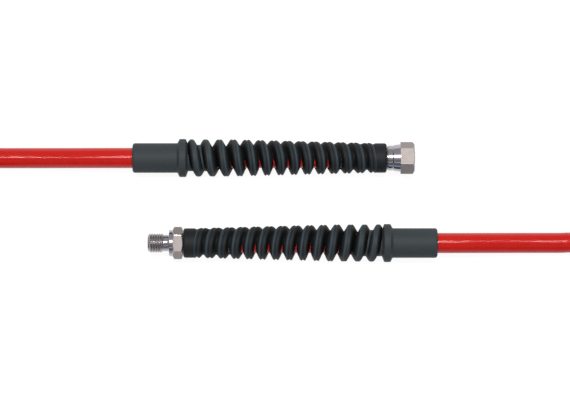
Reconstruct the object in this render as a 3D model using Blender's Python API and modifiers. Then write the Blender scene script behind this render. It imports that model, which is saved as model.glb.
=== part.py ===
"""A high-pressure washer hose with an anti-kink sleeve and a screw fitting at each end.

Metres, +Z up. The two ends lie side by side along X on the floor, which is z = 0, and the
origin lies midway between them. The female end, with the swivel nut, points to +X and the male
end, with the outside thread, points to -X. The hose leaves the female end towards -X, lies in a
tied coil and comes back along -Y into the male end.
"""

import math

import bmesh
import bpy
from mathutils import Matrix, Vector

# Driving dimensions
HOSE_DIAMETER = 0.0138
END_SPACING = 0.0574
GAP = 0.0003

SLEEVE_LENGTH = 0.1714
SLEEVE_MOUTH_X = 0.1028
SLEEVE_CLEARANCE = 0.0004
COLLAR_RADIUS = 0.0100
COLLAR_LENGTH = 0.0302
COLLAR_ROUNDING = 0.0014
FLANGE_RADIUS = 0.01285
FLANGE_WIDTH = 0.0042
FLANGE_FLANK = 0.0015
NECK_RADIUS = 0.0089
NECK_LENGTH = 0.0135
END_COLLAR_LENGTH = 0.0082
END_COLLAR_RADIUS = 0.00995

RIB_START = 0.0024
RIB_END_INSET = 0.00471
RIB_PITCH = 0.00938
RIB_PITCH_LOSS = 0.0000226
RIB_LEAD_IN = 0.35
RIB_STEPS = 12
RIB_RADIUS_WIDE = 0.01265
RIB_RADIUS_NARROW = 0.00995
RIB_TAPER_START = 3.0
RIB_CREST_HALF = 0.0015
RIB_CREST_GROWTH = 0.0018
RIB_CREST_GROWTH_OPEN_SIDE = 0.0011
RIB_CREST_GROOVE = 0.0003
RIB_GROOVE_TURNS = 4.0
RIB_FOOT_WALL = 0.0006
RIB_FOOT_GROWTH = 0.0017
RIB_FIRST_GAPS = 0.0014
RIB_FIRST_GAP_TURNS = 4.5
RIB_OPENING = 0.0010
RIB_OPENING_TURNS = 6.0

FERRULE_LENGTH = 0.0352
FERRULE_RADIUS = 0.0069
SHANK_RADIUS = 0.0033
BORE_RADIUS = 0.0021

HEX_FLATS = 0.019
HEX_CHAMFER = 0.0013
HUB_RADIUS = 0.0085
HUB_LENGTH = 0.0038
STEM_NECK_RADIUS = 0.0046
STEM_NECK_LENGTH = 0.0026
STEM_HEAD_RADIUS = 0.0055
STEM_HEAD_LENGTH = 0.0014
SEAT_NOSE_LENGTH = 0.0048
SEAT_NOSE_RADIUS = 0.0028

NUT_TAIL_LENGTH = 0.0049
NUT_TAIL_RADIUS_BACK = 0.00875
NUT_TAIL_RADIUS_FRONT = 0.0094
NUT_HEX_LENGTH = 0.0095
NUT_LIP_LENGTH = 0.0018
NUT_THREAD_RADIUS = 0.0060
NUT_MOUTH_CHAMFER = 0.0004

MALE_HEX_LENGTH = 0.0068
SHOULDER_RADIUS = 0.0089
SHOULDER_LENGTH = 0.0025
SHOULDER_CHAMFER = 0.0006
UNDERCUT_RADIUS = 0.0056
UNDERCUT_LENGTH = 0.0043
UNDERCUT_FLARE = 0.0003
THREAD_RADIUS = 0.00658
THREAD_LENGTH = 0.0100
THREAD_CHAMFER = 0.0009
SEAT_MOUTH_RADIUS = 0.0046

COIL_INNER_TURN = 0.0573
COIL_TURNS_WIDE = 3
COIL_TURNS_HIGH = 3
COIL_ROUNDING = 0.0028
COIL_EDGE_X = -0.1932
COIL_SIDES = 48
TURN_CLEARANCE = 0.0001
STRAP_WIDTH = 0.024
STRAP_THICKNESS = 0.0015
STRAP_ANGLES = (135, 315)
ROUND_SIDES = 24
MERGE_DISTANCE = 0.00001
CUT_MARGIN = 0.00005

# Worked out from the driving dimensions
HOSE_RADIUS = HOSE_DIAMETER / 2
AXIS_HEIGHT = FLANGE_RADIUS
FEMALE_Y = END_SPACING / 2
MALE_Y = -END_SPACING / 2
SLEEVE_BORE = HOSE_RADIUS + SLEEVE_CLEARANCE
FLANGE_START = COLLAR_LENGTH
FLANGE_END = FLANGE_START + FLANGE_WIDTH + 2 * FLANGE_FLANK
NECK_END = FLANGE_END + NECK_LENGTH
RIB_FIRST = FLANGE_END + RIB_START
RIB_REACH = SLEEVE_LENGTH - RIB_END_INSET - RIB_FIRST
RIB_TURNS = (RIB_PITCH - math.sqrt(RIB_PITCH**2 - 4 * RIB_PITCH_LOSS * RIB_REACH)) / (
    2 * RIB_PITCH_LOSS
)
END_X = SLEEVE_LENGTH - SLEEVE_MOUTH_X
HUB_X = END_X + GAP
FERRULE_START = HUB_X - GAP - FERRULE_LENGTH
TURN_SPACING = HOSE_DIAMETER + TURN_CLEARANCE
COIL_OUTER_TURN = COIL_INNER_TURN + (COIL_TURNS_WIDE - 1) * TURN_SPACING
COIL_RADIUS = COIL_OUTER_TURN + HOSE_RADIUS
COIL_HOLE = COIL_INNER_TURN - HOSE_RADIUS
COIL_X = COIL_EDGE_X - COIL_RADIUS
COIL_Y = FEMALE_Y - COIL_OUTER_TURN
COIL_BOTTOM = STRAP_THICKNESS + GAP
COIL_TOP = COIL_BOTTOM + HOSE_DIAMETER + (COIL_TURNS_HIGH - 1) * TURN_SPACING

# The lie of the hose where it isn't coiled, chosen by hand
LEAD_ROUTE = (
    (0.0329, 0.0287, 0.01285),
    (-0.0200, 0.0287, 0.01285),
    (-0.0700, 0.0287, 0.01285),
    (-0.1028, 0.0287, 0.01285),
    (-0.1150, 0.0287, 0.01275),
    (-0.1330, 0.0287, 0.01120),
    (-0.1530, 0.0287, 0.00850),
    (-0.1730, 0.0287, 0.00710),
    (-0.1930, 0.0287, 0.00710),
    (-0.2150, 0.0287, 0.00800),
    (-0.2400, 0.0287, 0.00870),
    (-0.2852, 0.0287, 0.00870),
)
RETURN_ROUTE = (
    (-0.32775, -0.13010, 0.05060),
    (-0.30723, -0.13860, 0.05060),
    (-0.2852, -0.1415, 0.05060),
    (-0.2500, -0.1418, 0.05040),
    (-0.2150, -0.1428, 0.04600),
    (-0.1750, -0.1440, 0.03600),
    (-0.1350, -0.1443, 0.02350),
    (-0.0950, -0.1443, 0.01350),
    (-0.0550, -0.1443, 0.00840),
    (-0.0150, -0.1443, 0.00710),
    (0.0500, -0.1443, 0.00700),
    (0.1100, -0.1443, 0.00700),
    (0.1600, -0.1443, 0.00700),
    (0.1930, -0.1435, 0.00700),
    (0.2216, -0.1353, 0.00700),
    (0.2423, -0.1146, 0.00700),
    (0.2500, -0.0865, 0.00700),
    (0.2423, -0.0584, 0.00700),
    (0.2216, -0.0377, 0.00700),
    (0.1930, -0.0295, 0.00700),
    (0.1650, -0.0287, 0.00750),
    (0.1400, -0.0287, 0.01010),
    (0.1180, -0.0287, 0.01260),
    (0.1028, -0.0287, 0.01285),
    (0.0700, -0.0287, 0.01285),
    (0.0200, -0.0287, 0.01285),
    (-0.0329, -0.0287, 0.01285),
)
ROUTE_STEP = 2 * HOSE_DIAMETER
CURVE_PIECES = 16


def clear_scene():
    for obj in list(bpy.data.objects):
        bpy.data.objects.remove(obj, do_unlink=True)


def new_collection(name):
    collection = bpy.data.collections.new(name)
    bpy.context.scene.collection.children.link(collection)
    return collection


def material(name, colour, roughness, metallic=0.0):
    made = bpy.data.materials.new(name)
    made.use_nodes = True
    shader = made.node_tree.nodes["Principled BSDF"]
    shader.inputs["Base Color"].default_value = (*colour, 1.0)
    shader.inputs["Roughness"].default_value = roughness
    shader.inputs["Metallic"].default_value = metallic
    return made


def object_from_bmesh(name, shape, collection):
    mesh = bpy.data.meshes.new(name)
    shape.to_mesh(mesh)
    shape.free()
    made = bpy.data.objects.new(name, mesh)
    collection.objects.link(made)
    return made


def as_cutter(obj):
    obj.hide_render = True
    obj.display_type = "WIRE"
    return obj


def turned(name, profile, collection, sides=ROUND_SIDES):
    """A closed (along, radius) profile turned about X; it runs from +X to -X on its outer side."""
    shape = bmesh.new()
    corners = [shape.verts.new((radius, 0, along)) for along, radius in profile]
    for here, following in zip(corners, corners[1:] + corners[:1]):
        shape.edges.new((here, following))
    made = object_from_bmesh(name, shape, collection)
    screw = made.modifiers.new("Turn", "SCREW")
    screw.steps = sides
    screw.render_steps = sides
    screw.use_merge_vertices = True
    screw.merge_threshold = MERGE_DISTANCE
    made.rotation_euler = (0, math.radians(90), 0)
    return baked(made, collection)


def baked(obj, collection):
    """The object's evaluated shape as a plain mesh with its turn applied."""
    bpy.context.view_layer.update()
    graph = bpy.context.evaluated_depsgraph_get()
    mesh = bpy.data.meshes.new_from_object(obj.evaluated_get(graph))
    mesh.transform(obj.matrix_world)
    shape = bmesh.new()
    shape.from_mesh(mesh)
    bmesh.ops.remove_doubles(shape, verts=shape.verts, dist=MERGE_DISTANCE / 10)
    bmesh.ops.recalc_face_normals(shape, faces=shape.faces)
    shape.to_mesh(mesh)
    shape.free()
    name = obj.name
    bpy.data.objects.remove(obj, do_unlink=True)
    made = bpy.data.objects.new(name, mesh)
    mesh.name = name
    collection.objects.link(made)
    return made


def combine(obj, other, operation):
    step = obj.modifiers.new(operation.title(), "BOOLEAN")
    step.operation = operation
    step.solver = "EXACT"
    step.object = as_cutter(other)


def hexagon(name, start, length, collection):
    """A hexagon bar along X with one flat facing up, between start and start + length."""
    bpy.ops.mesh.primitive_cylinder_add(
        vertices=6, radius=HEX_FLATS / math.sqrt(3), depth=length
    )
    made = bpy.context.active_object
    made.name = name
    made.data.transform(Matrix.Rotation(math.radians(30), 4, "Z"))
    made.data.transform(Matrix.Rotation(math.radians(90), 4, "Y"))
    made.data.transform(Matrix.Translation((start + length / 2, 0, 0)))
    if made.users_collection:
        made.users_collection[0].objects.unlink(made)
    collection.objects.link(made)
    return made


def hex_limit(name, start, length, chamfered_start, collection):
    """The turned envelope that chamfers a hexagon's corners at its ends."""
    corner = HEX_FLATS / math.sqrt(3) + GAP
    rim = HEX_FLATS / 2 - GAP
    back = start - CUT_MARGIN
    front = start + length + CUT_MARGIN
    profile = [(front, 0.0), (front, rim), (front - HEX_CHAMFER, corner)]
    if chamfered_start:
        profile += [(back + HEX_CHAMFER, corner), (back, rim)]
    else:
        profile += [(back, corner)]
    profile += [(back, 0.0)]
    return turned(name, profile, collection)


def smooth(obj):
    obj.data.shade_smooth()
    obj.data.set_sharp_from_angle(angle=math.radians(35))


# Bend sleeves

def rib_centre(turn):
    return RIB_FIRST + RIB_PITCH * turn - RIB_PITCH_LOSS * turn * turn


def share_of(turn, turns):
    return min(max(turn / turns, 0.0), 1.0)


def rib_section(turn):
    """(along, radius) corners of the rib at this turn of its helix; the ribs open towards -Y."""
    closed_side = (1 + math.cos(2 * math.pi * turn)) / 2
    open_side = 1 - closed_side
    share = share_of(turn, RIB_TURNS)
    first_gaps = RIB_FIRST_GAPS * (1 - share_of(turn, RIB_FIRST_GAP_TURNS))
    opening = RIB_OPENING * share_of(turn, RIB_OPENING_TURNS)
    gap = GAP + first_gaps * closed_side + opening * open_side
    pitch = RIB_PITCH - 2 * RIB_PITCH_LOSS * turn
    foot = (pitch - gap) / 2
    foot_radius = SLEEVE_BORE + RIB_FOOT_WALL + RIB_FOOT_GROWTH * share * closed_side
    growth = RIB_CREST_GROWTH * closed_side + RIB_CREST_GROWTH_OPEN_SIDE * open_side
    crest = RIB_CREST_HALF + growth * share
    taper = share_of(turn - RIB_TAPER_START, RIB_TURNS - RIB_TAPER_START)
    crest_radius = RIB_RADIUS_WIDE + (RIB_RADIUS_NARROW - RIB_RADIUS_WIDE) * taper
    groove = RIB_CREST_GROOVE * share_of(turn, RIB_GROOVE_TURNS)
    middle = rib_centre(turn)
    inner = SLEEVE_BORE / math.cos(math.pi / RIB_STEPS) + CUT_MARGIN
    return [
        (middle - foot, inner),
        (middle - foot, foot_radius),
        (middle - crest, crest_radius),
        (middle, crest_radius - groove),
        (middle + crest, crest_radius),
        (middle + foot, foot_radius),
        (middle + foot, inner),
    ]


def spiral_rib(name, collection):
    """The rib as one closed band: its section is lofted along the helix and capped at both ends."""
    shape = bmesh.new()
    count = round((RIB_TURNS + RIB_LEAD_IN) * RIB_STEPS)
    rings = []
    for step in range(count + 1):
        turn = step / RIB_STEPS - RIB_LEAD_IN
        angle = 2 * math.pi * turn
        rings.append([
            shape.verts.new((along, radius * math.cos(angle), radius * math.sin(angle)))
            for along, radius in rib_section(turn)
        ])
    for ring, following in zip(rings, rings[1:]):
        for i in range(len(ring)):
            j = (i + 1) % len(ring)
            shape.faces.new((ring[i], ring[j], following[j], following[i]))
    shape.faces.new(rings[0])
    shape.faces.new(rings[-1])
    bmesh.ops.triangulate(shape, faces=shape.faces)
    bmesh.ops.recalc_face_normals(shape, faces=shape.faces)
    return object_from_bmesh(name, shape, collection)


def bend_sleeve(name, mirrored, parts, cutters):
    """The moulded sleeve along +X from its mouth: collar, flange, spiral rib and end collar."""
    round_off = COLLAR_ROUNDING * (1 - math.sqrt(0.5))
    mouth = [
        (NECK_END, SLEEVE_BORE),
        (NECK_END, NECK_RADIUS),
        (FLANGE_END, NECK_RADIUS),
        (FLANGE_END - FLANGE_FLANK, FLANGE_RADIUS),
        (FLANGE_START + FLANGE_FLANK, FLANGE_RADIUS),
        (FLANGE_START, COLLAR_RADIUS),
        (COLLAR_ROUNDING, COLLAR_RADIUS),
        (round_off, COLLAR_RADIUS - round_off),
        (0.0, COLLAR_RADIUS - COLLAR_ROUNDING),
        (0.0, SLEEVE_BORE),
    ]
    collar_start = SLEEVE_LENGTH - END_COLLAR_LENGTH
    end = [
        (SLEEVE_LENGTH, SLEEVE_BORE),
        (SLEEVE_LENGTH, END_COLLAR_RADIUS - COLLAR_ROUNDING),
        (SLEEVE_LENGTH - round_off, END_COLLAR_RADIUS - round_off),
        (SLEEVE_LENGTH - COLLAR_ROUNDING, END_COLLAR_RADIUS),
        (collar_start, END_COLLAR_RADIUS),
        (collar_start, SLEEVE_BORE),
    ]
    sleeve = turned(name, mouth, parts)
    combine(sleeve, spiral_rib(name + "_rib", cutters), "UNION")
    combine(sleeve, turned(name + "_collar", end, cutters), "UNION")
    sleeve = baked(sleeve, parts)
    if mirrored:
        sleeve.data.transform(Matrix.Scale(-1, 4, (1, 0, 0)))
        sleeve.data.flip_normals()
        sleeve.data.transform(Matrix.Translation((SLEEVE_MOUTH_X, MALE_Y, AXIS_HEIGHT)))
    else:
        sleeve.data.transform(Matrix.Translation((-SLEEVE_MOUTH_X, FEMALE_Y, AXIS_HEIGHT)))
    smooth(sleeve)
    return sleeve


# Fittings

def ferrule(name, parts):
    """The crimped shell along +X from its mouth, which is where the hose goes in."""
    profile = [
        (FERRULE_START + FERRULE_LENGTH, SHANK_RADIUS + GAP),
        (FERRULE_START + FERRULE_LENGTH, FERRULE_RADIUS),
        (FERRULE_START, FERRULE_RADIUS),
        (FERRULE_START, SHANK_RADIUS + GAP),
    ]
    return turned(name, profile, parts)


def stem(name, parts):
    """The swivel end's insert: shank, hub, neck, retaining head and cone nose, with its bore."""
    hub_end = HUB_X + HUB_LENGTH
    neck_end = hub_end + STEM_NECK_LENGTH
    head_end = neck_end + STEM_HEAD_LENGTH
    nose_end = head_end + SEAT_NOSE_LENGTH
    profile = [
        (nose_end, BORE_RADIUS),
        (nose_end, SEAT_NOSE_RADIUS),
        (head_end, STEM_HEAD_RADIUS),
        (neck_end, STEM_HEAD_RADIUS),
        (neck_end, STEM_NECK_RADIUS),
        (hub_end, STEM_NECK_RADIUS),
        (hub_end, HUB_RADIUS),
        (HUB_X, HUB_RADIUS),
        (HUB_X, SHANK_RADIUS),
        (FERRULE_START + GAP, SHANK_RADIUS),
        (FERRULE_START + GAP, BORE_RADIUS),
    ]
    return turned(name, profile, parts)


def swivel_nut(name, parts, cutters):
    """The union nut: a chamfered hexagon with a round tail that is closed behind the stem's head."""
    tail_start = HUB_X + HUB_LENGTH + GAP
    hex_start = tail_start + NUT_TAIL_LENGTH
    hex_end = hex_start + NUT_HEX_LENGTH
    lip_end = tail_start + NUT_LIP_LENGTH
    overlap = NUT_TAIL_LENGTH / 5
    nut = hexagon(name, hex_start, NUT_HEX_LENGTH, parts)
    combine(nut, hex_limit(name + "_limit", hex_start, NUT_HEX_LENGTH, False, cutters), "INTERSECT")
    tail = [
        (hex_start + overlap, 0.0),
        (hex_start + overlap, NUT_TAIL_RADIUS_FRONT),
        (hex_start, NUT_TAIL_RADIUS_FRONT),
        (tail_start, NUT_TAIL_RADIUS_BACK),
        (tail_start, 0.0),
    ]
    combine(nut, turned(name + "_tail", tail, cutters), "UNION")
    hole = [
        (hex_end + overlap, 0.0),
        (hex_end + overlap, NUT_THREAD_RADIUS + NUT_MOUTH_CHAMFER + overlap),
        (hex_end - NUT_MOUTH_CHAMFER, NUT_THREAD_RADIUS),
        (lip_end, NUT_THREAD_RADIUS),
        (lip_end, STEM_NECK_RADIUS + GAP),
        (tail_start - overlap, STEM_NECK_RADIUS + GAP),
        (tail_start - overlap, 0.0),
    ]
    combine(nut, turned(name + "_hole", hole, cutters), "DIFFERENCE")
    return baked(nut, parts)


def male_fitting(name, parts, cutters):
    """The male insert, built along +X from its hexagon to its thread, with its shank and bore."""
    hex_end = HUB_X + MALE_HEX_LENGTH
    shoulder_end = hex_end + SHOULDER_LENGTH
    undercut_end = shoulder_end + UNDERCUT_LENGTH
    thread_end = undercut_end + THREAD_LENGTH
    overlap = MALE_HEX_LENGTH / 5
    fitting = hexagon(name, HUB_X, MALE_HEX_LENGTH, parts)
    combine(fitting, hex_limit(name + "_limit", HUB_X, MALE_HEX_LENGTH, True, cutters), "INTERSECT")
    front = [
        (thread_end, 0.0),
        (thread_end, THREAD_RADIUS - THREAD_CHAMFER),
        (thread_end - THREAD_CHAMFER, THREAD_RADIUS),
        (undercut_end, THREAD_RADIUS),
        (undercut_end - UNDERCUT_FLARE, UNDERCUT_RADIUS),
        (shoulder_end + UNDERCUT_FLARE, UNDERCUT_RADIUS),
        (shoulder_end, UNDERCUT_RADIUS + UNDERCUT_FLARE),
        (shoulder_end, SHOULDER_RADIUS - SHOULDER_CHAMFER),
        (shoulder_end - SHOULDER_CHAMFER, SHOULDER_RADIUS),
        (hex_end - overlap, SHOULDER_RADIUS),
        (hex_end - overlap, 0.0),
    ]
    combine(fitting, turned(name + "_front", front, cutters), "UNION")
    shank = [
        (HUB_X + overlap, 0.0),
        (HUB_X + overlap, SHANK_RADIUS),
        (FERRULE_START + GAP, SHANK_RADIUS),
        (FERRULE_START + GAP, 0.0),
    ]
    combine(fitting, turned(name + "_shank", shank, cutters), "UNION")
    seat_depth = (SEAT_MOUTH_RADIUS - BORE_RADIUS) * math.sqrt(3)
    hole = [
        (thread_end + overlap, 0.0),
        (thread_end + overlap, SEAT_MOUTH_RADIUS + overlap / math.sqrt(3)),
        (thread_end - seat_depth, BORE_RADIUS),
        (FERRULE_START - overlap, BORE_RADIUS),
        (FERRULE_START - overlap, 0.0),
    ]
    combine(fitting, turned(name + "_hole", hole, cutters), "DIFFERENCE")
    return baked(fitting, parts)


def place_female(obj):
    obj.data.transform(Matrix.Translation((0, FEMALE_Y, AXIS_HEIGHT)))
    smooth(obj)
    return obj


def place_male(obj):
    obj.data.transform(Matrix.Rotation(math.pi, 4, "Z"))
    obj.data.transform(Matrix.Translation((0, MALE_Y, AXIS_HEIGHT)))
    smooth(obj)
    return obj


# Hose and ties

def smooth_route(route):
    """Points close together on the smooth curve through the route's points."""
    points = [Vector(point) for point in route]
    ends = [2 * points[0] - points[1], *points, 2 * points[-1] - points[-2]]
    found = []
    for before, here, there, after in zip(ends, ends[1:], ends[2:], ends[3:]):
        span = (there - here).length
        leave = (there - before) * span / (span + (here - before).length)
        arrive = (after - here) * span / (span + (after - there).length)
        for k in range(CURVE_PIECES):
            t = k / CURVE_PIECES
            found.append(
                here * (2 * t**3 - 3 * t**2 + 1)
                + leave * (t**3 - 2 * t**2 + t)
                + there * (3 * t**2 - 2 * t**3)
                + arrive * (t**3 - t**2)
            )
    found.append(points[-1])
    return found


def coil_clearance(here, there):
    """How far a tube's end face here, square to its way to there, stays off the coil's solid."""
    along = (there - here).to_2d().normalized()
    from_centre = here.to_2d() - Vector((COIL_X, COIL_Y))
    side = Vector((-along.y, along.x)) * HOSE_RADIUS
    return min((from_centre + side).length, (from_centre - side).length) - COIL_RADIUS


def outside_coil(points):
    """The part of the line from the coil's solid on, or up to it, with a gap to the solid."""
    room = [coil_clearance(*pair) - GAP for pair in zip(points, points[1:])]
    room.append(room[-1])
    kept = []
    for i, point in enumerate(points):
        if i and (room[i] > 0) != (room[i - 1] > 0):
            share = room[i - 1] / (room[i - 1] - room[i])
            kept.append(points[i - 1].lerp(point, share))
        if room[i] > 0:
            kept.append(point)
    return kept


def spaced(points, step):
    """Points evenly along the line, about a step apart."""
    lengths = [(there - here).length for here, there in zip(points, points[1:])]
    count = max(1, round(sum(lengths) / step))
    wanted = sum(lengths) / count
    found = [points[0]]
    travelled = 0.0
    for here, there, length in zip(points, points[1:], lengths):
        while len(found) < count and travelled + length >= wanted * len(found):
            found.append(here.lerp(there, (wanted * len(found) - travelled) / length))
        travelled += length
    return [*found, points[-1]]


def hose_tube(name, points, collection):
    curve = bpy.data.curves.new(name, "CURVE")
    curve.dimensions = "3D"
    curve.bevel_depth = HOSE_RADIUS
    curve.bevel_resolution = 4
    curve.use_fill_caps = True
    line = curve.splines.new("POLY")
    line.points.add(len(points) - 1)
    for slot, point in zip(line.points, points):
        slot.co = (*point, 1.0)
    made = bpy.data.objects.new(name, curve)
    collection.objects.link(made)
    return made


def ring_about_z(name, profile, collection):
    """A closed (radius, height) profile turned about Z at the coil's centre."""
    shape = bmesh.new()
    corners = [shape.verts.new((radius, 0, height)) for radius, height in profile]
    for here, following in zip(corners, corners[1:] + corners[:1]):
        shape.edges.new((here, following))
    made = object_from_bmesh(name, shape, collection)
    screw = made.modifiers.new("Turn", "SCREW")
    screw.steps = COIL_SIDES
    screw.render_steps = COIL_SIDES
    screw.use_merge_vertices = True
    screw.merge_threshold = MERGE_DISTANCE
    made.location = (COIL_X, COIL_Y, 0)
    return baked(made, collection)


def coil_profile():
    """The bundle's (radius, height) outline, from its top on the outer side round to the inner."""
    cut = COIL_ROUNDING
    return [
        (COIL_RADIUS - cut, COIL_TOP),
        (COIL_RADIUS, COIL_TOP - cut),
        (COIL_RADIUS, COIL_BOTTOM + cut),
        (COIL_RADIUS - cut, COIL_BOTTOM),
        (COIL_HOLE + cut, COIL_BOTTOM),
        (COIL_HOLE, COIL_BOTTOM + cut),
        (COIL_HOLE, COIL_TOP - cut),
        (COIL_HOLE + cut, COIL_TOP),
    ]


def grown(outline, distance):
    """A convex outline that runs clockwise, moved out by this distance with mitred corners."""
    found = []
    for before, corner, after in zip(outline[-1:] + outline, outline, outline[1:] + outline[:1]):
        arriving = (Vector(corner) - Vector(before)).normalized()
        leaving = (Vector(after) - Vector(corner)).normalized()
        out_a = Vector((-arriving.y, arriving.x))
        out_b = Vector((-leaving.y, leaving.x))
        mitre = (out_a + out_b) / (1 + out_a.dot(out_b))
        found.append(Vector(corner) + mitre * distance)
    return found


def tie_strap(name, angle, collection):
    """A flat band closed round the bundle of turns at this angle of the coil."""
    bundle = []
    for radius, height in coil_profile():
        inward = radius < COIL_OUTER_TURN
        reach = math.sqrt(radius**2 - (STRAP_WIDTH / 2) ** 2) if inward else radius
        bundle.append((reach, height))
    outlines = [grown(bundle, GAP), grown(bundle, GAP + STRAP_THICKNESS)]
    shape = bmesh.new()
    sides = [
        [[shape.verts.new((r, y, z)) for r, z in outline] for outline in outlines]
        for y in (-STRAP_WIDTH / 2, STRAP_WIDTH / 2)
    ]
    (inner_a, outer_a), (inner_b, outer_b) = sides
    for i in range(len(bundle)):
        j = (i + 1) % len(bundle)
        shape.faces.new((inner_a[i], inner_a[j], outer_a[j], outer_a[i]))
        shape.faces.new((inner_b[i], outer_b[i], outer_b[j], inner_b[j]))
        shape.faces.new((outer_a[i], outer_a[j], outer_b[j], outer_b[i]))
        shape.faces.new((inner_a[i], inner_b[i], inner_b[j], inner_a[j]))
    bmesh.ops.recalc_face_normals(shape, faces=shape.faces)
    made = object_from_bmesh(name, shape, collection)
    made.location = (COIL_X, COIL_Y, 0)
    made.rotation_euler = (0, 0, math.radians(angle))
    return made


def build():
    clear_scene()
    parts = new_collection("pressure_washer_hose")
    cutters = new_collection("cutters")
    red = material("hose_rubber", (0.62, 0.03, 0.02), 0.3)
    black = material("sleeve_rubber", (0.025, 0.03, 0.035), 0.55)
    plated = material("plated_steel", (0.62, 0.60, 0.58), 0.3, 1.0)
    crimped = material("ferrule_steel", (0.55, 0.50, 0.45), 0.35, 1.0)
    webbing = material("tie_fabric", (0.03, 0.03, 0.035), 0.9)

    female = [
        (bend_sleeve("bend_sleeve_female_end", False, parts, cutters), black),
        (place_female(ferrule("ferrule_female_end", parts)), crimped),
        (place_female(stem("stem_female_end", parts)), plated),
    ]
    nut = place_female(swivel_nut("swivel_nut", parts, cutters))
    pivot = Vector((HUB_X + HUB_LENGTH, FEMALE_Y, AXIS_HEIGHT))
    nut.data.transform(Matrix.Translation(-pivot))
    nut.location = pivot
    male = [
        (bend_sleeve("bend_sleeve_male_end", True, parts, cutters), black),
        (place_male(ferrule("ferrule_male_end", parts)), crimped),
        (place_male(male_fitting("male_fitting", parts, cutters)), plated),
    ]
    lead = spaced(outside_coil(smooth_route(LEAD_ROUTE)), ROUTE_STEP)
    back = spaced(smooth_route(RETURN_ROUTE), ROUTE_STEP)
    hose = [
        (hose_tube("hose_lead", lead, parts), red),
        (ring_about_z("hose_coil", coil_profile(), parts), red),
        (hose_tube("hose_return", back, parts), red),
    ]
    ties = [
        (tie_strap(f"tie_strap_{number}", angle, parts), webbing)
        for number, angle in enumerate(STRAP_ANGLES, 1)
    ]
    for obj, finish in [*female, (nut, plated), *male, *hose, *ties]:
        obj.data.materials.clear()
        obj.data.materials.append(finish)
    for helper in list(cutters.objects):
        bpy.data.objects.remove(helper, do_unlink=True)


build()
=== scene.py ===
"""The looks of a high-pressure washer hose with a ribbed bend sleeve and a fitting at each end.

Metres, +Z up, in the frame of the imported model: the two ends lie side by side along X on the
floor, the swivel end on the +Y side and the male end on the -Y side.
"""

import math

import bmesh
import bpy
import numpy as np
from mathutils import Matrix, Vector


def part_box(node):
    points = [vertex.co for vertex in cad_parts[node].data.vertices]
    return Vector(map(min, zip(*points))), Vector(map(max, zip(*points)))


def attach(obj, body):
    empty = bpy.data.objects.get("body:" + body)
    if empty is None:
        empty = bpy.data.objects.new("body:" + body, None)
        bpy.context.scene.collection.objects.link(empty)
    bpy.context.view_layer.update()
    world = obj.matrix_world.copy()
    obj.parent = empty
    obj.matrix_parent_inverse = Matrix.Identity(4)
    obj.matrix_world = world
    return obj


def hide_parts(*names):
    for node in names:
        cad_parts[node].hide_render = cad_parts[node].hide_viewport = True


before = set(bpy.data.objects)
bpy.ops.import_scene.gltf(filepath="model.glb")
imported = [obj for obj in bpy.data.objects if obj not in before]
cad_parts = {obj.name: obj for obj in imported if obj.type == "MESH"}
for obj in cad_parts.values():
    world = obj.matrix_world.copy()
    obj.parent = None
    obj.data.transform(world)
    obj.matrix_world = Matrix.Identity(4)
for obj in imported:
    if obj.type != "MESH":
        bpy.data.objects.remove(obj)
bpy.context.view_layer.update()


# The camera looks straight down on the two ends, as a catalogue picture is taken. Its lens is
# long, and the picture's width covers a little more than the two sleeves and their fittings.

FLANGE_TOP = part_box("bend_sleeve_female_end")[1].z
AXIS_HEIGHT = FLANGE_TOP / 2
VIEW_WIDTH = 0.38475
VIEW_SHIFT_Y = 0.00034
LENS = 180.0

camera_data = bpy.data.cameras.new("camera")
camera_data.lens = LENS
camera_data.sensor_width = 36.0
camera_data.sensor_fit = "HORIZONTAL"
camera = bpy.data.objects.new("camera", camera_data)
camera_height = VIEW_WIDTH * LENS / camera_data.sensor_width
camera.location = (0, VIEW_SHIFT_Y, AXIS_HEIGHT + camera_height)
camera_data.clip_start = 0.1
camera_data.clip_end = 20.0
bpy.context.scene.collection.objects.link(camera)
bpy.context.scene.camera = camera
bpy.context.scene.view_settings.view_transform = "Standard"


# The hose is a rubber tube with a wire braid under a glossy red cover, 13.8 mm thick and 5 m
# long. Its cover carries the faint diamond print of the braid. It leaves the swivel end's
# sleeve, lies in one tied coil and comes back into the male end's sleeve.

HOSE_DIAMETER = 0.0138
HOSE_SIDES = 24
HOSE_RING_STEP = 0.0035
CURVE_PIECES = 16
TURN_CLEARANCE = 0.0001
COIL_TURNS = 8.5
COIL_POINTS = 72
FIRST_SHIFT = 305.0
SHIFT_WIDTH = 120.0
SHIFT_LEAD = 36.0
COIL_SHIFTS = ((-1, 0), (-1, 0), (0, 1), (0, 1), (1, 0), (0, -1), (1, 0), (0, 1), (0, 1))
LEAD_ROUTE = (
    (0.0329, 0.0287, 0.01285),
    (-0.0200, 0.0287, 0.01285),
    (-0.0700, 0.0287, 0.01285),
    (-0.1028, 0.0287, 0.01285),
    (-0.1150, 0.0287, 0.01275),
    (-0.1330, 0.0287, 0.01120),
    (-0.1530, 0.0287, 0.00850),
    (-0.1730, 0.0287, 0.00710),
    (-0.1930, 0.0287, 0.00710),
    (-0.2150, 0.0287, 0.00800),
    (-0.2400, 0.0287, 0.00870),
    (-0.2852, 0.0287, 0.00870),
)
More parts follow.
